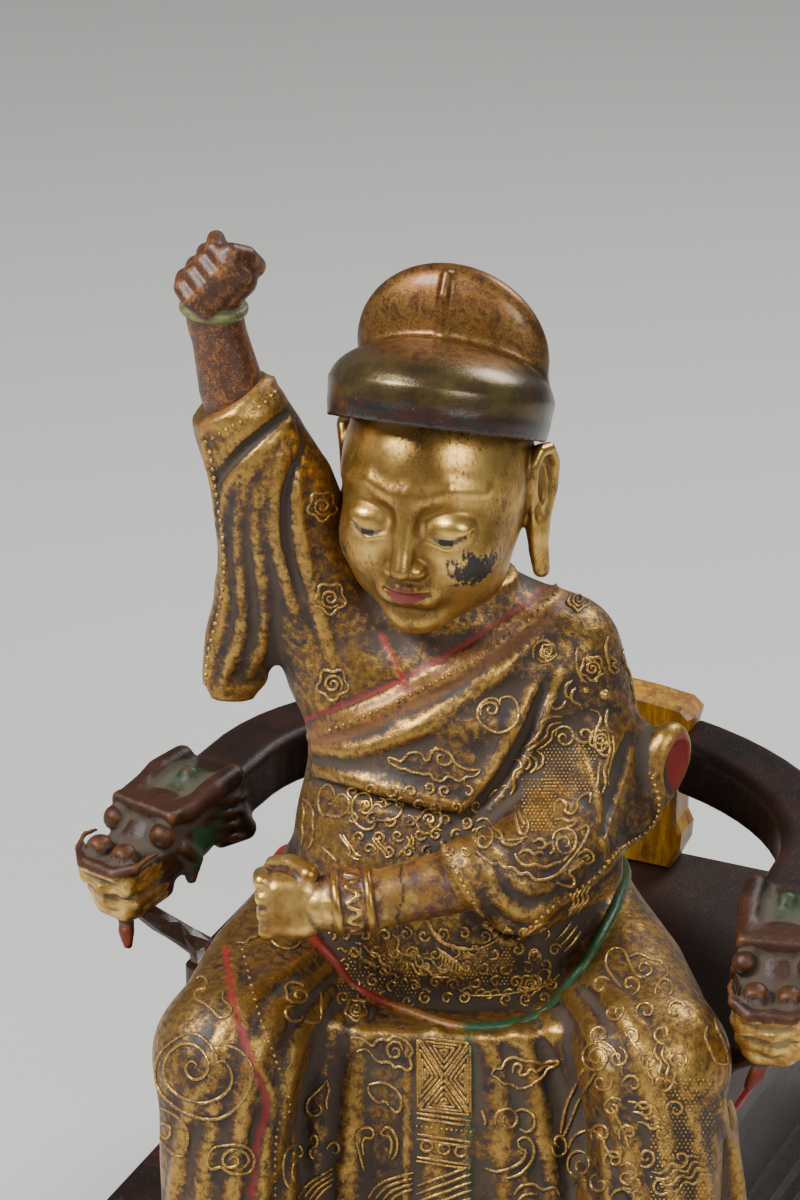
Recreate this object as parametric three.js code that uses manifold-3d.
// A carved and gilt wooden guardian figure seated in a horseshoe armchair with dragon-head arm ends.
// Millimetres, +Z up, the chair faces -Y, and the origin is at the middle of the plinth's underside.
import * as THREE from 'three';
import { mergeVertices } from 'three/addons/utils/BufferGeometryUtils.js';
import Module from 'manifold-3d';

const wasm = await Module();
wasm.setup();

// Driving sizes
const GAP = 0.35; // clearance between two pieces that touch
const CLEAR = 1.4; // clearance between the sitter's cloth and the arms of the chair
const PLINTH_W = 228;
const PLINTH_D = 240;
const PLINTH_H = 24;
const SEAT_W = 180;
const SEAT_FRONT = -26;
const SEAT_BACK = 108;
const SEAT_TOP = 108;
const RAIL_RX = 95.6; // half width of the horseshoe, on its centre line
const RAIL_RY = 75; // depth of the horseshoe's bend
const RAIL_Y = 26.5; // where the bend starts
const RAIL_W = 21;
const RAIL_H = 19;
const RAIL_Z = 150; // middle of the rail's height
const SPLAT_W = 62;
const SPLAT_T = 13;
const FIGURE_TURN = 22; // degrees that the sitter is turned in the chair
const FIGURE_X = -10;
const HEAD_TURN = -16;
const HEAD_AT = [-4, -4, 278];

// Where the carving was laid out from: a front plane that leans back, seen from a distance
const LOOK_DOWN = THREE.MathUtils.degToRad(25.7);
const LOOK_FROM = 1500;
const PLANE_Z = 240;
const PLANE_X = -15;

const BIG = 1e6;
const { abs, min, max, hypot, sin, cos, PI } = Math;

// Distance fields. Each shape is a function of a point that gives its distance to the surface.

function blend(a, b, soft) {
  const h = max(soft - abs(a - b), 0);
  return min(a, b) - (soft > 0 ? (h * h) / (4 * soft) : 0);
}

// A chain of round segments through points [x, y, z, radius].
function limb(points) {
  const segments = [];
  for (let i = 0; i + 1 < points.length; i += 1) {
    const [ax, ay, az, ar] = points[i];
    const [bx, by, bz, br] = points[i + 1];
    const d = [bx - ax, by - ay, bz - az];
    segments.push([ax, ay, az, ar, ...d, br - ar, d[0] ** 2 + d[1] ** 2 + d[2] ** 2]);
  }
  return (x, y, z) => {
    let best = BIG;
    for (const [ax, ay, az, ar, dx, dy, dz, dr, length2] of segments) {
      const px = x - ax;
      const py = y - ay;
      const pz = z - az;
      const t = min(max((px * dx + py * dy + pz * dz) / length2, 0), 1);
      const away = hypot(px - t * dx, py - t * dy, pz - t * dz) - ar - t * dr;
      if (away < best) best = away;
    }
    return best;
  };
}

function ball(x, y, z, rx, ry, rz) {
  const least = min(rx, ry, rz);
  return (px, py, pz) => {
    const qx = (px - x) / rx;
    const qy = (py - y) / ry;
    const qz = (pz - z) / rz;
    const k = hypot(qx, qy, qz);
    const steep = hypot(qx / rx, qy / ry, qz / rz);
    return steep > 0 ? (k * (k - 1)) / steep : -least;
  };
}

function slab(x, y, z, hx, hy, hz, round) {
  return (px, py, pz) => {
    const qx = abs(px - x) - hx + round;
    const qy = abs(py - y) - hy + round;
    const qz = abs(pz - z) - hz + round;
    return hypot(max(qx, 0), max(qy, 0), max(qz, 0)) + min(max(qx, qy, qz), 0) - round;
  };
}

// An upright body through level ovals [z, x, y, half width, half depth], softly joined.
function loft(ovals) {
  return (px, py, pz) => {
    const z = min(max(pz, ovals[0][0]), ovals[ovals.length - 1][0]);
    let i = 0;
    while (i + 2 < ovals.length && z > ovals[i + 1][0]) i += 1;
    const a = ovals[i];
    const b = ovals[i + 1];
    const t = (z - a[0]) / (b[0] - a[0]);
    const s = t * t * (3 - 2 * t);
    const rx = a[3] + (b[3] - a[3]) * s;
    const ry = a[4] + (b[4] - a[4]) * s;
    const qx = (px - a[1] - (b[1] - a[1]) * s) / rx;
    const qy = (py - a[2] - (b[2] - a[2]) * s) / ry;
    const k = hypot(qx, qy);
    const steep = hypot(qx / rx, qy / ry);
    const side = steep > 0 ? (k * (k - 1)) / steep : -min(rx, ry);
    const over = abs(pz - z);
    return side > 0 ? hypot(side, over) : max(side, over > 0 ? over : side);
  };
}

// A shape moved to a place after being turned about X, then Y, then Z, in degrees.
function placed(shape, [x, y, z], tiltX = 0, tiltY = 0, turnZ = 0) {
  const rad = THREE.MathUtils.degToRad;
  const euler = new THREE.Euler(rad(tiltX), rad(tiltY), rad(turnZ), 'ZYX');
  const e = new THREE.Matrix4().makeRotationFromEuler(euler).elements;
  return (px, py, pz) => {
    const dx = px - x;
    const dy = py - y;
    const dz = pz - z;
    return shape(
      e[0] * dx + e[1] * dy + e[2] * dz,
      e[4] * dx + e[5] * dy + e[6] * dz,
      e[8] * dx + e[9] * dy + e[10] * dz
    );
  };
}

const add = (shape, soft = 0) => ({ shape, soft, cut: false });
const cut = (shape, soft = 0) => ({ shape, soft, cut: true });
const within = (steps, place) => steps.map((s) => ({ ...s, shape: placed(s.shape, ...place) }));

function fieldOf(steps) {
  return (x, y, z) => {
    let d = BIG;
    for (const { shape, soft, cut: away } of steps) {
      const s = shape(x, y, z);
      d = away ? -blend(-d, s, soft) : blend(d, s, soft);
    }
    return d;
  };
}

// The point of a field's surface that shows at (u, v) of the front plane, or the nearest one beside it.
function shown(field, u, v) {
  const eye = [PLANE_X, -LOOK_FROM * cos(LOOK_DOWN), PLANE_Z + LOOK_FROM * sin(LOOK_DOWN)];
  const aim = [u, v * sin(LOOK_DOWN), PLANE_Z + v * cos(LOOK_DOWN)];
  const way = aim.map((a, i) => a - eye[i]);
  const length = hypot(...way);
  const pointAt = (t) => way.map((w, k) => eye[k] + (w * t) / length);
  let best = { d: BIG, t: length };
  for (let t = length - 140; t < length + 90;) {
    const d = field(...pointAt(t));
    if (d < best.d) best = { d, t };
    if (d < 0.05) break;
    t += max(d * 0.7, 0.1);
  }
  return pointAt(best.t);
}

// A smooth line through points of equal length, passing each of them.
function smoothLine(points, steps) {
  const out = [];
  const at = (i) => points[min(max(i, 0), points.length - 1)];
  for (let i = 0; i + 1 < points.length; i += 1) {
    const [p, a, b, n] = [at(i - 1), at(i), at(i + 1), at(i + 2)];
    for (let k = 0; k < steps; k += 1) {
      const t = k / steps;
      out.push(a.map((q, c) => {
        const m = (b[c] - p[c]) / 2;
        const w = (n[c] - q) / 2;
        const rise = b[c] - q;
        return q + t * m + t * t * (3 * rise - 2 * m - w) + t ** 3 * (m + w - 2 * rise);
      }));
    }
  }
  out.push(at(points.length - 1));
  return out;
}

// A fold laid on a surface along points [u, v] of the front plane: a round bar, part sunk, thin at its ends.
function fold(field, points, radius, sink = 0.5) {
  const line = smoothLine(points, 4);
  const last = line.length - 1;
  return limb(line.map(([u, v], i) => {
    const [x, y, z] = shown(field, u, v);
    const swell = radius * (0.45 + 0.55 * sin((PI * i) / last));
    const deep = swell * sink;
    return [x, y + deep * cos(LOOK_DOWN), z - deep * sin(LOOK_DOWN), swell];
  }));
}

// Evenly spread folds between two guide lines.
function fan(field, from, to, count, radius, sink) {
  return Array.from({ length: count }, (_, i) => {
    const t = count > 1 ? i / (count - 1) : 0;
    const line = from.map((p, k) => p.map((c, j) => c + (to[k][j] - c) * t));
    return fold(field, line, radius, sink);
  });
}

// The robed body without its folds: torso, thighs, shins and the drop of the skirt.
function bodyForm() {
  const torso = loft([
    [106, 0, 8, 54, 40], [124, 0, -1, 49, 42], [140, 0, -4, 49, 43], [165, 0, -4, 47, 40],
    [190, 0, -2, 43, 34], [210, 0, 0, 43, 30], [224, 0, 2, 42, 25], [237, 1, 3, 33, 20],
    [248, -1, 3, 21, 16]
  ]);
  const lap = [];
  for (const side of [-1, 1]) {
    lap.push(add(limb([[side * 34, 12, 128, 23], [side * 52, -34, 128, 22], [side * 63, -74, 126, 21]]), 12));
    lap.push(add(limb([[side * 63, -75, 124, 21], [side * 64, -79, 92, 20], [side * 60, -80, 40, 23]]), 8));
  }
  const drop = loft([[18, 0, -58, 74, 30], [44, 0, -56, 68, 25], [90, 0, -52, 60, 20],
    [126, 0, -46, 52, 18]]);
  const sideFall = limb([[66, -46, 116, 12], [78, -52, 92, 11], [82, -56, 60, 11], [82, -58, 32, 13]]);
  const backFall = loft([[104, 0, 30, 52, 26], [130, 0, 18, 48, 24], [160, 0, 10, 42, 20]]);
  return [add(torso), ...lap, add(drop, 10), add(sideFall, 12), add(backFall, 14)];
}

// The sleeve of the raised arm, hanging from the forearm.
function raisedSleeve() {
  return [
    add(limb([[-30, 4, 220, 21], [-42, 1, 246, 18], [-51, -2, 276, 17], [-62, -5, 303, 13.5]]), 10),
    add(loft([
      [206, -66, 0, 7, 4], [213, -65, 0, 10, 6], [226, -62, -1, 12, 9], [242, -59, -1, 12, 10],
      [256, -57, -2, 12, 11], [279, -55, -3, 16, 12], [298, -61, -4, 14, 12], [306, -63, -5, 12, 12]
    ]), 5)
  ];
}

// The sleeve of the arm held across the belly, with its flared back edge.
function lowSleeve() {
  return [
    add(limb([[33, 3, 221, 19], [38, 2, 204, 18.5], [40, -8, 186, 19], [33, -34, 178, 16.5]]), 7),
    add(limb([[33, -34, 177, 16.5], [19, -50, 175, 14], [8, -56, 178, 11]]), 5),
    add(limb([[44, -36, 168, 9], [26, -54, 164, 7], [20, -56, 164, 6]]), 6),
    add(limb([[42, -22, 173, 10], [54, -11, 177, 9.5], [61, -7, 183, 8]]), 6),
    add(placed(ball(0, 0, 0, 14, 10, 15), [53, -2, 187], 0, 14, 0), 4),
    add(placed(ball(0, 0, 0, 6.5, 9.6, 13), [65.5, -4.5, 189.5], 0, 8, -37), 3),
    cut(placed(ball(0, 0, 0, 5, 7.4, 11), [71, -9.2, 189.5], 0, 8, -37), 1)
  ];
}

// Folds of cloth, cut and raised, laid out on the front plane.
function foldSteps(field) {
  const raised = [
    [[[-49, 53], [-58, 45], [-63.5, 38], [-66.5, 28], [-66.8, 18], [-66.8, 8], [-67, -3],
      [-70, -14], [-72.5, -24]], 2.2],
    [[[-48, 52], [-55, 44], [-59.5, 37.5], [-62, 28], [-62.5, 19], [-62, 8], [-61.5, -3],
      [-63.5, -14], [-68, -25]], 2.4],
    [[[-47.5, 50], [-53, 40], [-56.5, 31], [-57.2, 20], [-56, 10], [-55, -2], [-56, -13], [-60, -23]], 2.4],
    [[[-47, 48], [-51, 38], [-52.5, 28], [-52, 18], [-49.5, 8], [-46.5, -3]], 2.2],
    [[[-46.5, 47], [-46, 37], [-45, 24], [-43, 12], [-39, -4], [-34, -20]], 1.6]
  ];
  const chest = [
    [[[-40, -45], [-27, -45], [-12, -40], [2, -31], [14, -22], [27, -10]], 3.4],
    [[[-40, -52], [-28, -54], [-14, -57.5], [0, -61], [9, -62]], 3],
    [[[26, -24], [20, -37], [14, -50], [8, -59]], 2.4],
    [[[33, -22], [27, -36], [21, -50], [13, -62]], 2]
  ];
  const lowArm = [
    [[[13, -78], [17, -88], [25, -93], [33, -89], [40, -82]], 3],
    [[[14, -74], [22, -84], [31, -85], [40, -78]], 2.4],
    [[[38, -40], [42, -52], [46, -64], [48, -76]], 2]
  ];
  const grooves = [
    [[[-49, 55], [-61, 44.5], [-70.5, 34]], 1.6],
    [[[-44, 46], [-49, 30], [-48, 14], [-44, 0]], 1.2],
    [[[-40, -55], [-26, -59], [-10, -63], [6, -65]], 1.8],
    [[[29, -26], [22, -43], [13, -58], [2, -68]], 2.2],
    [[[-39, -36], [-26, -30], [-12, -23]], 1],
    [[[54, -40], [51.5, -49], [49, -59], [47, -69]], 2.6]
  ];
  const skirt = [
    ...fan(field, [[-40, -108], [-56, -120], [-66, -136], [-72, -156]], [[-24, -122], [-26, -136],
      [-27, -158], [-27, -190]], 5, 2.6, 0.6),
    ...fan(field, [[14, -132], [16, -142], [18, -160], [20, -190]], [[44, -112], [56, -124],
      [64, -142], [70, -170]], 5, 2.6, 0.6),
    ...fan(field, [[-74, -150], [-78, -175], [-80, -198], [-78, -216]], [[-30, -170], [-30, -190],
      [-30, -204], [-32, -216]], 7, 2.6, 0.5),
    ...fan(field, [[24, -165], [26, -190], [26, -204], [28, -216]], [[84, -150], [88, -175],
      [88, -196], [84, -212]], 8, 2.6, 0.5)
  ];
  return [
    ...[...raised, ...chest, ...lowArm].map(([line, r]) => add(fold(field, line, r, 0.35), 2.5)),
    ...skirt.map((s) => add(s, 4)),
    ...grooves.map(([line, r]) => cut(fold(field, line, r, 0.1), 1.5))
  ];
}

// Raised borders: the lapel, the cuffs, the belt, the flap's edge and the middle panel.
function borderSteps(field) {
  const lapel = [[33, 3], [24, -6], [13, -14], [1, -22], [-12, -29], [-27, -36], [-42, -42]];
  const rail = lapel.map(([u, v]) => [u - 1, v + 3.2]);
  const belt = [[-44, -99], [-33, -109], [-22, -117.5], [-6, -125.5], [9, -128.5], [22, -126],
    [34, -119], [43, -109], [48, -95]];
  const flap = [[-64, -106], [-60, -123], [-55, -138], [-50, -152], [-53, -166], [-55, -190],
    [-55, -205], [-54, -218]];
  const hem = [[-1, -73], [4, -81], [9, -89.5], [14, -98.5], [20, -102], [27, -97], [34.8, -90],
    [40.5, -86], [46, -81.5], [53, -73], [59, -68.5], [62.5, -63.5], [63, -58.5], [60.5, -51]];
  const hang = [[-52.5, 66], [-63.5, 60], [-73.5, 51], [-73, 43], [-70.6, 33], [-69, 21],
    [-68.4, 12], [-69.6, 0], [-73, -15], [-73.6, -26]];
  const pipe = [[-20, -11], [-16, -19], [-12, -28]];
  const panel = [[-1.5, -131], [-1.5, -150], [-1.5, -180], [-1.5, -200], [-1.5, -216]];
  const edges = [-1, 1].map((side) => panel.map(([u, v]) => [u + side * 9, v]));
  return [
    add(fold(field, lapel, 2.6, 0.3), 2),
    add(fold(field, rail, 1.1, 0), 1),
    add(fold(field, belt, 2.4, 0.4), 1.5),
    add(fold(field, flap, 1.3, 0.2), 1),
    add(fold(field, hem, 1.6, 0.3), 1.5),
    add(fold(field, hang, 1.5, 0.4), 1.5),
    add(fold(field, pipe, 1, 0.2), 1),
    ...edges.map((line) => add(fold(field, line, 1.3, 0.2), 1)),
    add(fold(field, panel, 8, 0.9), 1.5)
  ];
}

// The bare form of the head, in a frame at its middle, facing -Y.
function headForm() {
  const cheeks = [-1, 1].map((side) => add(ball(side * 14, -19, -8, 9, 8.5, 10), 8));
  return [
    add(ball(0, 2, 8, 28.5, 31, 32)),
    add(ball(0, -6, -11, 24, 24.5, 25.5), 8),
    ...cheeks,
    add(ball(0, -22, -30, 9, 8, 6.5), 6),
    add(limb([[0, 4, -20, 15], [0, 6, -46, 16]]), 4)
  ];
}

// The face with long ears, laid on the bare head by height and distance from its middle line.
function headSteps() {
  const form = headForm();
  const bare = fieldOf(form);
  const on = (x, z, out, radius) => {
    let y = -60;
    while (bare(x, y, z) > 0.05 && y < 20) y += bare(x, y, z) * 0.8 + 0.02;
    return [x, y - out, z, radius];
  };
  const bud = (x, z, out, rx, ry, rz) => ball(...on(x, z, out).slice(0, 3), rx, ry, rz);
  const steps = [
    ...form,
    add(limb([on(0, 11, -1.4, 2.2), on(0, 3, 0.6, 2.2), on(0, -4, 3, 2.6), on(0, -9.5, 4.8, 3.2)]), 4),
    add(bud(0, -20, -0.6, 9.5, 2.8, 5), 4), // swell of the mouth
    add(limb([on(-7.5, -18.8, 0.6, 0.8), on(-2.4, -17.2, 2.2, 1.3), on(0, -17.8, 2.2, 1),
      on(2.4, -17.2, 2.2, 1.3), on(7.5, -18.8, 0.6, 0.8)]), 1),
    add(limb([on(-6, -20.4, 0.8, 0.9), on(0, -21.7, 1.5, 1.9), on(6, -20.4, 0.8, 0.9)]), 1),
    cut(limb([on(-8.4, -18.9, 1.8, 0.5), on(0, -19.2, 4, 0.6), on(8.4, -18.9, 1.8, 0.5)]), 0.8),
    cut(bud(0, -26.2, 1.2, 6, 1.4, 1.4), 2.5)
  ];
  for (const side of [-1, 1]) {
    steps.push(
      // brow
      add(limb([on(side * 4.5, 10.5, -0.6, 1.3), on(side * 12, 13.2, -0.4, 1.5),
        on(side * 20, 10.5, -0.7, 1)]), 3),
      cut(bud(side * 12.4, 3.6, 1.6, 7.4, 3.4, 3.4), 3), // eye hollow
      add(bud(side * 12.4, 2.6, -3.6, 6.2, 4.6, 4), 1), // eye
      add(limb([on(side * 6, 1.6, -0.8, 0.7), on(side * 9.5, 4.8, -0.2, 0.9),
        on(side * 14.5, 4.9, -0.4, 0.9), on(side * 19, 2.2, -0.8, 0.6)]), 1),
      add(limb([on(side * 6.8, 0.8, -0.9, 0.5), on(side * 12.4, -1.2, -0.3, 0.6),
        on(side * 18.2, 1.2, -0.9, 0.5)]), 1),
      add(bud(side * 4.6, -10.4, 2.2, 2.6, 3.2, 2.5), 1.4), // wing of the nose
      cut(bud(side * 2.4, -13.2, 4.4, 1.1, 1.6, 0.9), 0.6), // nostril
      // ear rim
      add(limb([[side * 27.5, 2, 10, 2.2], [side * 30.5, 5, 13.5, 2], [side * 32, 10, 9, 2],
        [side * 30.5, 9, -2, 2], [side * 28.5, 5, -12, 2.4]]), 1.5),
      add(ball(side * 28.5, 5, 1, 2.4, 5, 10), 2),
      // lobe
      add(limb([[side * 28.7, 4, -12, 2.8], [side * 29.8, 4.5, -20, 3.2], [side * 31, 4.5, -25.5, 2.4]]), 2),
      cut(ball(side * 31.4, 4.4, 3, 1.5, 3, 5.5), 1)
    );
  }
  return steps;
}

// The cap: a bulging band that rises toward the front, and an upright crown plate behind it.
function capSteps() {
  return [
    ...within([
      add(ball(0, 0, 0, 33, 36.5, 15.5)),
      add(loft([[-11.8, 0, 0, 30.8, 34.4], [-6, 0, 0, 32.4, 35.8], [1, 0, 0, 33, 36.5]]), 1)
    ], [[2, 0, 33], -28]),
    add(ball(1.5, 13, 40, 29.5, 11, 28), 3),
    add(limb([[1.5, 3.5, 50, 1.6], [1.5, 5, 62, 1.6], [1.5, 9, 67, 1.4]]), 1.5)
  ];
}

// A closed hand in a frame whose +Z runs from the wrist to the knuckles, with curled fingers on its -Y side
// and the thumb at +X for 1 or -X for -1.
function fistSteps(thumb) {
  const steps = [add(slab(0, 0.5, -1, 10, 7, 9, 5.5))];
  for (let i = 0; i < 4; i += 1) {
    const x = thumb * (7.5 - i * 5);
    const down = 0.6 * i;
    steps.push(add(limb([[x, 4, 7.6 - down, 2.7], [x, -4.5, 8 - down, 2.9], [x, -8, 3, 3],
      [x, -6.5, -3, 2.7]]), 0.7));
  }
  steps.push(add(limb([[thumb * 9.5, 3, -6, 3.4], [thumb * 11.5, -2.5, -0.5, 3.2],
    [thumb * 10.5, -6.5, 4.5, 3]]), 1));
  return steps;
}

function armSteps() {
  const raised = [
    add(limb([[-60, -4, 296, 10.5], [-64.5, -5, 311, 9.6], [-69, -5, 333, 7.6]])),
    add(limb([[-69, -5, 332, 7.6], [-68.8, -6, 339, 7.6]]), 3),
    add(limb(ringPoints([-69.2, -5.5, 336], 8.6, 1.7, [0.05, 0, 1]))),
    ...within(fistSteps(1), [[-68, -7.5, 345.8], 0, -45, 4])
  ];
  const low = [
    add(limb([[26, -47, 176.5, 10.5], [-2, -58, 174.5, 9.4], [-18, -61, 171.4, 8.6],
      [-36, -62, 169.8, 8.2]])),
    add(limb([[-22.2, -61.2, 171, 9.4], [-30.8, -61.8, 170.2, 9.2]])), // bracelet
    add(limb(ringPoints([-21.8, -61.1, 171], 9.2, 1.4, [1, 0.1, 0.1]))),
    add(limb(ringPoints([-31.2, -61.9, 170.1], 9, 1.4, [1, 0.08, 0.1]))),
    ...within(within(fistSteps(-1), [[0, 0, 0], 0, 0, 18]), [[-45.8, -62, 169.2], 0, 90, 180])
  ];
  return [...raised, ...low];
}

// Points of a closed ring about an axis, for a limb.
function ringPoints(centre, radius, thick, axis) {
  const n = new THREE.Vector3(...axis).normalize();
  const side = new THREE.Vector3(0.3, 1, 0.2).cross(n).normalize();
  const up = n.clone().cross(side);
  return Array.from({ length: 17 }, (_, i) => {
    const a = (i * PI) / 8;
    const p = new THREE.Vector3(...centre).addScaledVector(side,
      radius * cos(a)).addScaledVector(up, radius * sin(a));
    return [p.x, p.y, p.z, thick];
  });
}

function bootSteps() {
  return [-1, 1].flatMap((side) => [
    add(limb([[side * 58, -80, 36, 12], [side * 60, -104, 32, 9.5], [side * 62, -116, 30, 7.5]]), 4),
    add(slab(side * 60, -98, 27.5, 10.5, 23, 3.4, 3), 1)
  ]);
}

function figureSteps() {
  const cloth = [...bodyForm(), ...raisedSleeve(), ...lowSleeve()];
  const plain = fieldOf(cloth);
  return [
    ...bootSteps(),
    ...cloth,
    ...foldSteps(plain),
    ...borderSteps(plain),
    cut(placed(slab(0, 0, 0, 40, 40, 12, 1), [-69, -6, 320], 0, -34, 0), 1), // open end of the raised sleeve
    ...armSteps(),
    ...within([...headSteps(), ...capSteps()], [HEAD_AT, 4, 0, HEAD_TURN]),
    ...clearanceSteps()
  ];
}

// The chair's rails and posts, a little swollen, taken away from the sitter.
function clearanceSteps() {
  const turn = THREE.MathUtils.degToRad(FIGURE_TURN);
  const chairAt = [-FIGURE_X * cos(turn), FIGURE_X * sin(turn), 0];
  const rail = armField();
  const post = fieldOf(postSteps());
  const chair = (x, y, z) => min(rail(x, y, z), post(abs(x), y, z)) - CLEAR;
  return [cut(placed(chair, chairAt, 0, 0, -FIGURE_TURN), 0.5)];
}

// Dragon-head arm end in a frame at the back of its neck, facing -Y, +X outward.
function dragonSteps() {
  const steps = [
    add(slab(0, -6, -1, 11, 14, 11, 6)),
    add(ball(0, -24, -3, 13.5, 17, 14), 4),
    add(slab(0, -42, -4, 11.5, 12, 6, 4), 4),
    add(slab(0, -40, -13, 9.5, 11, 6.5, 4), 3),
    add(limb([[-11, -50, 2, 2], [-6, -54, 0.5, 2.6], [6, -54, 0.5, 2.6], [11, -50, 2, 2]]), 1.5), // upper lip
    add(limb([[-10, -34, -5.5, 1.8], [-10.5, -48, -5.5, 2.2], [0, -53.5, -6.5, 2.4],
      [10.5, -48, -5.5, 2.2], [10, -34, -5.5, 1.8]]), 1),
    cut(limb([[-12.5, -32, -8.2, 1], [-12, -50, -8.4, 1], [0, -56, -9, 1], [12, -50, -8.4, 1],
      [12.5, -32, -8.2, 1]]), 1),
    add(limb([[-9.5, -36, -11.5, 1.8], [-9, -48, -12, 2.2], [0, -51.5, -12.5, 2.4],
      [9, -48, -12, 2.2], [9.5, -36, -11.5, 1.8]]), 1),
    add(slab(0, -47, -17, 6.5, 4, 3, 2), 1.5), // chin
    add(placed(slab(0, 0, 0, 13, 7, 2.6, 2.2), [0, -26.5, 9.5], -12, 0, 0), 2), // brow plate
    add(limb([[0, -10, 12, 3], [0, 1, -10, 6]]), 4)
  ];
  for (const side of [-1, 1]) {
    steps.push(
      add(ball(side * 5, -48, 4, 4, 4.5, 3.4), 1.5), // nostril
      cut(ball(side * 5, -52.5, 4.6, 1.4, 2, 1.2), 0.6),
      add(ball(side * 9.5, -34.5, 5.5, 4.2, 4.2, 4.2), 1), // eye
      // mane
      add(limb([[side * 10.5, -24, 9, 3], [side * 11, -12, 10.5, 4], [side * 10.5, -1, 10.5, 3.6]]), 3),
      // jaw line
      add(limb([[side * 13, -30, 0, 1.6], [side * 13.5, -24, -7, 2], [side * 12, -26, -14, 1.8]]), 2),
      // curl under the rail
      add(limb([[side * 9, 0, -6, 4.5], [side * 8, 5, -13, 4], [side * 5, -3, -14, 3]]), 2)
    );
  }
  steps.push(add(limb([[-2, -46, -19, 2.2], [-4, -49, -24, 2.6], [-6, -51, -27, 1.6]]), 1)); // tongue
  return steps;
}

// Half of the horseshoe rail, in a frame at the middle of its height, on the +X side.
function railPlan() {
  const points = [];
  const turns = 14;
  for (let i = 0; i <= turns; i += 1) {
    const a = 0.2 + (i / turns) * (PI / 2 - 0.2);
    points.push([RAIL_RX * sin(a), RAIL_Y + RAIL_RY * cos(a)]);
  }
  points.push([RAIL_RX + 0.8, 14], [RAIL_RX + 3, 4]);
  return points;
}

function railBar() {
  const plan = railPlan();
  const round = 4;
  return (x, y, z) => {
    let off = BIG;
    for (let i = 0; i + 1 < plan.length; i += 1) {
      const [ax, ay] = plan[i];
      const dx = plan[i + 1][0] - ax;
      const dy = plan[i + 1][1] - ay;
      const t = min(max(((x - ax) * dx + (y - ay) * dy) / (dx * dx + dy * dy), 0), 1);
      off = min(off, hypot(x - ax - t * dx, y - ay - t * dy));
    }
    const qx = off - RAIL_W / 2 + round;
    const qz = abs(z) - RAIL_H / 2 + round;
    return hypot(max(qx, 0), max(qz, 0)) + min(max(qx, qz), 0) - round;
  };
}

function railSteps() {
  const place = [[RAIL_RX + 1.6, 12, 0], 5, 0, 14];
  return [add(railBar()), ...within(dragonSteps(), place)];
}

// Both rails with their heads, in the chair's frame, or a rough distance well away from them.
function armField() {
  const rail = fieldOf(railSteps());
  return (x, y, z) => {
    const above = abs(z - RAIL_Z) - 40;
    const outside = 70 - hypot(x, y - RAIL_Y);
    const far = max(above, y > -20 ? outside : -1);
    return far > 4 ? far : rail(abs(x), y, z - RAIL_Z);
  };
}

// The bent post under an arm end, on the +X side, with its foot on the seat's corner.
function postSteps() {
  const bar = [[103, -26, 126, 3.2], [99, -24, 122, 3.4], [92, -20, 116, 3.6], [84, -17, 110, 4],
    [83, -17, 106, 5]];
  return [add(limb(smoothLine(bar, 4))), add(ball(83, -18, 109, 7, 7, 5), 1.5)];
}

// Meshing: each cube of a grid is split into six tetrahedra, and the surface crosses their edges.

const CORNERS = [[0, 0, 0], [1, 0, 0], [0, 1, 0], [1, 1, 0], [0, 0, 1], [1, 0, 1], [0, 1, 1], [1, 1, 1]];
const TETRAHEDRA = [[0, 1, 3, 7], [0, 5, 1, 7], [0, 3, 2, 7], [0, 2, 6, 7], [0, 6, 4, 7], [0, 4, 5, 7]];
const BLOCK = 8; // cells along a block's side

// Field values on a grid. Blocks that the surface can't reach are filled with a far value.
function sample(steps, low, high, cell) {
  const size = low.map((l, i) => (Math.ceil((high[i] - l) / cell / BLOCK) * BLOCK) + 1);
  const [nx, ny, nz] = size;
  const values = new Float32Array(nx * ny * nz).fill(BIG);
  const reach = (BLOCK * cell * Math.sqrt(3)) / 2;
  const whole = fieldOf(steps);
  const blocks = [];
  for (let bz = 0; bz < nz - 1; bz += BLOCK) {
    for (let by = 0; by < ny - 1; by += BLOCK) {
      for (let bx = 0; bx < nx - 1; bx += BLOCK) {
        const c = [bx, by, bz].map((b, i) => low[i] + (b + BLOCK / 2) * cell);
        const here = whole(...c);
        if (abs(here) > 1.3 * reach + 2) {
          fillBlock(values, size, [bx, by, bz], here);
          continue;
        }
        const near = steps.filter((s) => s.shape(...c) < 1.5 * reach + s.soft + 3);
        blocks.push([bx, by, bz, fieldOf(near)]);
      }
    }
  }
  for (const [bx, by, bz, field] of blocks) {
    for (let k = bz; k <= bz + BLOCK; k += 1) {
      for (let j = by; j <= by + BLOCK; j += 1) {
        for (let i = bx; i <= bx + BLOCK; i += 1) {
          values[(k * ny + j) * nx + i] = field(low[0] + i * cell, low[1] + j * cell, low[2] + k * cell);
        }
      }
    }
  }
  return { values, size, blocks };
}

function fillBlock(values, [nx, ny], [bx, by, bz], value) {
  for (let k = bz; k <= bz + BLOCK; k += 1) {
    for (let j = by; j <= by + BLOCK; j += 1) {
      values.fill(value, (k * ny + j) * nx + bx, (k * ny + j) * nx + bx + BLOCK + 1);
    }
  }
}

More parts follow.
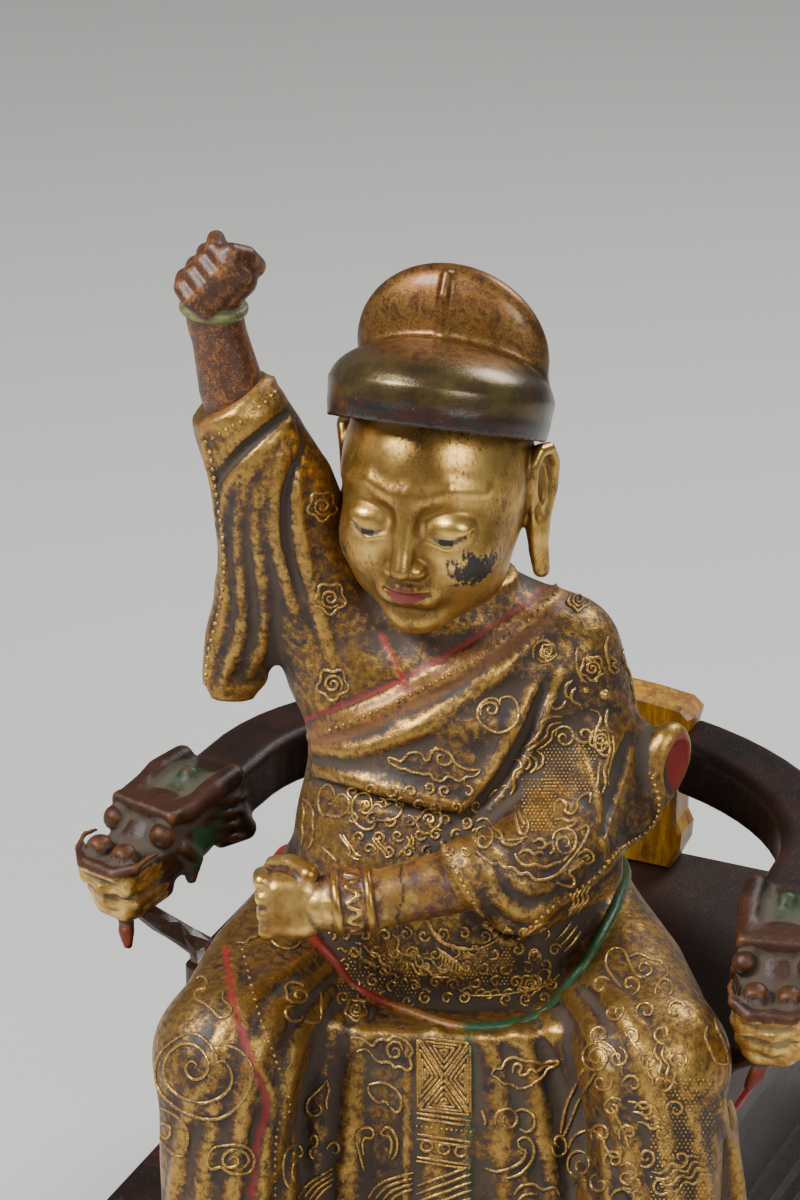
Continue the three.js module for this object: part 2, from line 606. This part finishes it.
function surface(steps, low, high, cell) {
  const { values, size, blocks } = sample(steps, low, high, cell);
  const [nx, ny] = size;
  const points = [];
  const faces = [];
  const known = new Map();
  const crossing = (a, b) => {
    const key = a < b ? a * 8388608 + (b - a) : b * 8388608 + (a - b);
    let id = known.get(key);
    if (id === undefined) {
      const va = values[a];
      const t = min(max(va / (va - values[b]), 0.04), 0.96);
      const pa = [a % nx, Math.floor(a / nx) % ny, Math.floor(a / nx / ny)];
      const pb = [b % nx, Math.floor(b / nx) % ny, Math.floor(b / nx / ny)];
      id = points.length / 3;
      for (let i = 0; i < 3; i += 1) points.push(low[i] + (pa[i] + (pb[i] - pa[i]) * t) * cell);
      known.set(key, id);
    }
    return id;
  };
  const cornerAt = CORNERS.map(([x, y, z]) => (z * ny + y) * nx + x);
  for (const [bx, by, bz] of blocks) {
    for (let k = bz; k < bz + BLOCK; k += 1) {
      for (let j = by; j < by + BLOCK; j += 1) {
        for (let i = bx; i < bx + BLOCK; i += 1) {
          const base = (k * ny + j) * nx + i;
          let count = 0;
          for (const c of cornerAt) if (values[base + c] < 0) count += 1;
          if (count === 0 || count === 8) continue;
          for (const tet of TETRAHEDRA) {
            crossTetrahedron(tet.map((c) => base + cornerAt[c]), values, crossing, faces);
          }
        }
      }
    }
  }
  return { points: Float64Array.from(points), faces: Int32Array.from(faces) };
}

function crossTetrahedron(corner, values, crossing, faces) {
  const inside = corner.map((c) => values[c] < 0);
  const count = inside.filter(Boolean).length;
  if (count === 0 || count === 4) return;
  const parity = (order) => {
    let swaps = 0;
    for (let i = 0; i < 4; i += 1) for (let j = i + 1; j < 4; j += 1) if (order[i] > order[j]) swaps += 1;
    return swaps % 2;
  };
  const ins = [0, 1, 2, 3].filter((i) => inside[i]);
  const outs = [0, 1, 2, 3].filter((i) => !inside[i]);
  const flip = parity([...ins, ...outs]) === 1;
  const at = (i, j) => crossing(corner[i], corner[j]);
  const push = (a, b, c) => (flip ? faces.push(a, b, c) : faces.push(a, c, b));
  if (count === 1) {
    push(at(ins[0], outs[0]), at(ins[0], outs[2]), at(ins[0], outs[1]));
  } else if (count === 3) {
    push(at(ins[0], outs[0]), at(ins[2], outs[0]), at(ins[1], outs[0]));
  } else {
    const [a, b] = ins;
    const [c, d] = outs;
    push(at(a, c), at(b, c), at(a, d));
    push(at(b, c), at(b, d), at(a, d));
  }
}

// Simplifying: edges are collapsed in the order of the error that each one makes.

class Heap {
  constructor() {
    this.items = [];
  }

  push(item) {
    const { items } = this;
    let i = items.length;
    items.push(item);
    while (i > 0) {
      const parent = (i - 1) >> 1;
      if (items[parent].cost <= item.cost) break;
      items[i] = items[parent];
      i = parent;
    }
    items[i] = item;
  }

  pop() {
    const { items } = this;
    const top = items[0];
    const last = items.pop();
    let i = 0;
    while (items.length) {
      let child = 2 * i + 1;
      if (child >= items.length) break;
      if (child + 1 < items.length && items[child + 1].cost < items[child].cost) child += 1;
      if (items[child].cost >= last.cost) break;
      items[i] = items[child];
      i = child;
    }
    if (items.length) items[i] = last;
    return top;
  }
}

function cross(p, a, b, c) {
  const ux = p[3 * b] - p[3 * a];
  const uy = p[3 * b + 1] - p[3 * a + 1];
  const uz = p[3 * b + 2] - p[3 * a + 2];
  const vx = p[3 * c] - p[3 * a];
  const vy = p[3 * c + 1] - p[3 * a + 1];
  const vz = p[3 * c + 2] - p[3 * a + 2];
  return [uy * vz - uz * vy, uz * vx - ux * vz, ux * vy - uy * vx];
}

const SHORT_FIRST = 1e-4; // small cost of an edge for its squared length, so that short ones go first

function quadricError(q, x, y, z) {
  return q[0] * x * x + 2 * q[1] * x * y + 2 * q[2] * x * z + 2 * q[3] * x + q[4] * y * y
    + 2 * q[5] * y * z + 2 * q[6] * y + q[7] * z * z + 2 * q[8] * z + q[9];
}

function bestPoint(q, a, b) {
  const det = q[0] * (q[4] * q[7] - q[5] * q[5]) - q[1] * (q[1] * q[7] - q[5] * q[2])
    + q[2] * (q[1] * q[5] - q[4] * q[2]);
  const scale = q[0] + q[4] + q[7];
  const mid = a.map((c, i) => (c + b[i]) / 2);
  if (abs(det) > 1e-4 * scale ** 3) {
    const [r, s, t] = [-q[3], -q[6], -q[8]];
    const x = (r * (q[4] * q[7] - q[5] * q[5]) - q[1] * (s * q[7] - q[5] * t)
      + q[2] * (s * q[5] - q[4] * t)) / det;
    const y = (q[0] * (s * q[7] - q[5] * t) - r * (q[1] * q[7] - q[5] * q[2])
      + q[2] * (q[1] * t - s * q[2])) / det;
    const z = (q[0] * (q[4] * t - s * q[5]) - q[1] * (q[1] * t - s * q[2])
      + r * (q[1] * q[5] - q[4] * q[2])) / det;
    const span = hypot(...a.map((c, i) => c - b[i]));
    if (hypot(x - mid[0], y - mid[1], z - mid[2]) < 2 * span) return [x, y, z];
  }
  const options = [a, b, mid];
  const costs = options.map((o) => quadricError(q, ...o));
  return options[costs.indexOf(min(...costs))];
}

// Keeps about the wanted number of faces. The weight says how much an error counts at a place.
function simplify({ points: p, faces }, wanted, weight) {
  const count = p.length / 3;
  const quadrics = Array.from({ length: count }, () => new Float64Array(10));
  const around = Array.from({ length: count }, () => []);
  const alive = new Uint8Array(faces.length / 3).fill(1);
  for (let f = 0; f < faces.length; f += 3) {
    const [a, b, c] = faces.subarray(f, f + 3);
    const n = cross(p, a, b, c);
    const length = hypot(...n);
    for (const v of [a, b, c]) around[v].push(f / 3);
    if (length === 0) continue;
    const [x, y, z] = n.map((k) => k / length);
    const d = -(x * p[3 * a] + y * p[3 * a + 1] + z * p[3 * a + 2]);
    const w = length * weight(p[3 * a], p[3 * a + 1], p[3 * a + 2]);
    const terms = [x * x, x * y, x * z, x * d, y * y, y * z, y * d, z * z, z * d, d * d];
    for (const v of [a, b, c]) terms.forEach((t, i) => { quadrics[v][i] += t * w; });
  }
  const version = new Int32Array(count);
  const place = (v) => [p[3 * v], p[3 * v + 1], p[3 * v + 2]];
  const heap = new Heap();
  const offer = (a, b) => {
    const q = quadrics[a].map((value, i) => value + quadrics[b][i]);
    const at = bestPoint(q, place(a), place(b));
    const span = hypot(...place(a).map((c, i) => c - p[3 * b + i]));
    const cost = max(quadricError(q, ...at), 0) + SHORT_FIRST * span * span;
    heap.push({ cost, a, b, at, stamp: version[a] + version[b] });
  };
  const neighbours = (v) => {
    const out = new Set();
    for (const f of around[v]) {
      for (const other of faces.slice(3 * f, 3 * f + 3)) out.add(other);
    }
    out.delete(v);
    return out;
  };
  for (let v = 0; v < count; v += 1) {
    for (const n of neighbours(v)) {
      if (n > v) offer(v, n);
    }
  }
  let left = alive.length;
  while (left > wanted && heap.items.length) {
    const { a, b, at, stamp } = heap.pop();
    if (version[a] < 0 || version[b] < 0 || version[a] + version[b] !== stamp) continue;
    const nb = neighbours(b);
    const shared = [...neighbours(a)].filter((v) => nb.has(v));
    if (shared.length !== 2 || turnsOver(a, b, at) || turnsOver(b, a, at)) continue;
    p.set(at, 3 * a);
    for (const f of around[b]) {
      if ([0, 1, 2].some((i) => faces[3 * f + i] === a)) {
        alive[f] = 0;
        left -= 1;
      } else {
        for (let i = 0; i < 3; i += 1) if (faces[3 * f + i] === b) faces[3 * f + i] = a;
        around[a].push(f);
      }
    }
    around[a] = around[a].filter((f) => alive[f]);
    for (const s of shared) around[s] = around[s].filter((f) => alive[f]);
    quadrics[b].forEach((value, i) => { quadrics[a][i] += value; });
    version[b] = -1e9;
    version[a] += 1e3;
    for (const n of neighbours(a)) offer(a, n);
  }
  return { points: p, faces: faces.filter((_, i) => alive[Math.floor(i / 3)]) };

  function turnsOver(v, other, at) {
    const was = place(v);
    for (const f of around[v]) {
      const tri = [faces[3 * f], faces[3 * f + 1], faces[3 * f + 2]];
      if (tri.includes(other)) continue;
      const before = cross(p, ...tri);
      p.set(at, 3 * v);
      const after = cross(p, ...tri);
      p.set(was, 3 * v);
      const dot = before[0] * after[0] + before[1] * after[1] + before[2] * after[2];
      const sizes = hypot(...before) * hypot(...after);
      if (dot < 0.25 * sizes || hypot(...after) < 0.02) return true;
    }
    return false;
  }
}

// Solids: a closed mesh as a manifold, and back to a geometry.

function solidOf({ points, faces }) {
  return new wasm.Manifold(new wasm.Mesh({
    numProp: 3, vertProperties: Float32Array.from(points), triVerts: Uint32Array.from(faces)
  }));
}

const largest = (solid) => solid.decompose().reduce((a, b) => (a.volume() > b.volume() ? a : b));

function solidFrom(geometry) {
  geometry.deleteAttribute('normal');
  geometry.deleteAttribute('uv');
  const merged = mergeVertices(geometry, 1e-4);
  return solidOf({ points: merged.attributes.position.array, faces: merged.index.array });
}

function geometryOf(solid) {
  const mesh = solid.getMesh();
  const geometry = new THREE.BufferGeometry();
  geometry.setAttribute('position', new THREE.BufferAttribute(new Float32Array(mesh.vertProperties), 3));
  geometry.setIndex(new THREE.BufferAttribute(new Uint32Array(mesh.triVerts), 1));
  geometry.computeVertexNormals();
  return geometry;
}

function boxSolid(x0, x1, y0, y1, z0, z1) {
  const box = new THREE.BoxGeometry(x1 - x0, y1 - y0, z1 - z0);
  box.translate((x0 + x1) / 2, (y0 + y1) / 2, (z0 + z1) / 2);
  return solidFrom(box);
}

// A level layer with rounded corners, between two heights.
function layer(x0, x1, y0, y1, z0, z1, corner) {
  const shape = new THREE.Shape();
  shape.absarc(x1 - corner, y1 - corner, corner, 0, PI / 2);
  shape.absarc(x0 + corner, y1 - corner, corner, PI / 2, PI);
  shape.absarc(x0 + corner, y0 + corner, corner, PI, 1.5 * PI);
  shape.absarc(x1 - corner, y0 + corner, corner, 1.5 * PI, 2 * PI);
  const block = new THREE.ExtrudeGeometry(shape, { depth: z1 - z0, bevelEnabled: false, curveSegments: 2 });
  block.translate(0, 0, z0);
  return solidFrom(block);
}

const stack = (solids) => solids.reduce((a, b) => a.add(b));

function plinthSolid() {
  const step = (inset, z0, z1) => layer(
    inset - PLINTH_W / 2, PLINTH_W / 2 - inset, inset - PLINTH_D / 2, PLINTH_D / 2 - inset, z0, z1, 5
  );
  return stack([step(0, 0, 8), step(2.5, 7, 11), step(5, 10, 18), step(2, 17, PLINTH_H)]);
}

// The seat board with its mouldings, and the closed box under it.
function seatLayer(grow, inset, z0, z1, corner = 4) {
  const half = SEAT_W / 2 - inset + grow;
  return layer(-half, half, SEAT_FRONT + inset - grow, SEAT_BACK - inset + grow, z0 - grow, z1
    + grow, corner);
}

function seatSolid(grow = 0) {
  return stack([
    seatLayer(grow, 0, 96, SEAT_TOP), seatLayer(grow, 3, 90, 97), seatLayer(grow, 1, 84, 91)
  ]);
}

function seatBoxSolid(grow = 0) {
  const body = stack([seatLayer(grow, 5, 30, 84 - GAP), seatLayer(grow, 2, PLINTH_H + GAP, 31)]);
  if (grow) return body;
  const half = SEAT_W / 2 - 5;
  const panels = [
    boxSolid(half - 2, half + 2, SEAT_FRONT + 20, SEAT_BACK - 20, 42, 76),
    boxSolid(-half - 2, 2 - half, SEAT_FRONT + 20, SEAT_BACK - 20, 42, 76),
    boxSolid(-66, 66, SEAT_FRONT + 3, SEAT_FRONT + 7, 42, 76),
    boxSolid(-66, 66, SEAT_BACK - 7, SEAT_BACK - 3, 42, 76)
  ];
  return panels.reduce((a, b) => a.subtract(b), body);
}

// The back board: a flared lower part with shoulders, and an upper part that the rails meet.
function splatSolid() {
  const half = SPLAT_W / 2;
  const side = [
    [-5, SEAT_TOP + GAP], [-1.5, 116], [-1, 122], [-3, 126], [-3, 138], [0, 141], [0, 158],
      [1.5, 164], [-2, 167]
  ];
  const shape = new THREE.Shape();
  shape.moveTo(half + side[0][0], side[0][1]);
  for (const [out, z] of side.slice(1)) shape.lineTo(half + out, z);
  shape.quadraticCurveTo(0, 171, 2 - half, 167);
  for (const [out, z] of side.slice(0, -1).reverse()) shape.lineTo(-half - out, z);
  const board = new THREE.ExtrudeGeometry(shape, {
    depth: SPLAT_T - 2, bevelEnabled: true, bevelSize: 1, bevelThickness: 1, bevelOffset: -1,
    bevelSegments: 1, curveSegments: 5
  });
  board.rotateX(PI / 2);
  board.translate(0, RAIL_Y + RAIL_RY + SPLAT_T / 2 - 1, 0);
  return solidFrom(board);
}

function placeFigure(mesh) {
  const turn = new THREE.Matrix4().makeRotationZ(THREE.MathUtils.degToRad(FIGURE_TURN));
  turn.setPosition(FIGURE_X, 0, 0);
  const v = new THREE.Vector3();
  for (let i = 0; i < mesh.points.length; i += 3) {
    v.fromArray(mesh.points, i).applyMatrix4(turn).toArray(mesh.points, i);
  }
  return mesh;
}

// Face, hands and dragon heads keep finer facets than broad cloth.
function figureWeight(x, y, z) {
  if (z > 244 && z < 312 && y < 0 && x > -40) return 9;
  if (z > 328 && x < -50) return 6;
  if (x < -30 && y < -44 && z > 155) return 5;
  return 1;
}

function figureSolid() {
  const rough = surface(figureSteps(), [-112, -140, 6], [112, 66, 372], 2.2);
  const carved = solidOf(placeFigure(simplify(rough, 5600, figureWeight)));
  return largest(carved
    .subtract(boxSolid(-200, 200, -200, 200, -10, PLINTH_H + GAP))
    .subtract(stack([seatSolid(GAP), seatBoxSolid(GAP)])));
}

// A mesh of the +X side, or for side -1 its mirror image, moved up.
function mirrored({ points, faces }, side, lift) {
  const order = side < 0 ? [0, 2, 1] : [0, 1, 2];
  return {
    points: points.map((c, i) => c * (i % 3 === 0 ? side : 1) + (i % 3 === 2 ? lift : 0)),
    faces: faces.map((_, i) => faces[i - (i % 3) + order[i % 3]])
  };
}

function railSolid(side) {
  const rough = surface(railSteps(), [0, -60, -36], [132, 128, 26], 1.6);
  const carved = mirrored(simplify(rough, 1250, (x, y) => (y < 12 ? 12 : 1)), side, RAIL_Z);
  const middle = SPLAT_W / 2 + GAP;
  return largest(solidOf(carved).subtract(boxSolid(-middle, middle, 40, 140, RAIL_Z - 40, RAIL_Z + 40)));
}

function postSolid(side) {
  const rail = armField();
  const steps = [...postSteps(), cut((x, y, z) => rail(x, y, z) - 2 * GAP)];
  const rough = surface(steps, [70, -40, 98], [112, -4, 136], 1.4);
  const bar = mirrored(simplify(rough, 160, () => 1), side, 0);
  return largest(solidOf(bar).subtract(boxSolid(-200, 200, -100, 100, 60, SEAT_TOP + GAP)));
}

const group = new THREE.Group();

function addPiece(name, solid, color, roughness, metalness) {
  const material = new THREE.MeshStandardMaterial({ color, roughness, metalness, flatShading: true });
  const mesh = new THREE.Mesh(geometryOf(solid), material);
  mesh.name = name;
  group.add(mesh);
}

addPiece('plinth', plinthSolid(), 0x3a1d14, 0.45, 0);
addPiece('seat_box', seatBoxSolid(), 0x2c1612, 0.5, 0);
addPiece('seat', seatSolid(), 0x4d2618, 0.45, 0);
addPiece('back_splat', splatSolid(), 0xc99416, 0.45, 0);
addPiece('figure', figureSolid(), 0x8a6224, 0.4, 0.5);
for (const [name, side] of [['left', -1], ['right', 1]]) {
  addPiece(`rail_${name}`, railSolid(side), 0x5a2a1c, 0.4, 0.1);
  addPiece(`arm_post_${name}`, postSolid(side), 0x6a3020, 0.45, 0);
}

export default group;
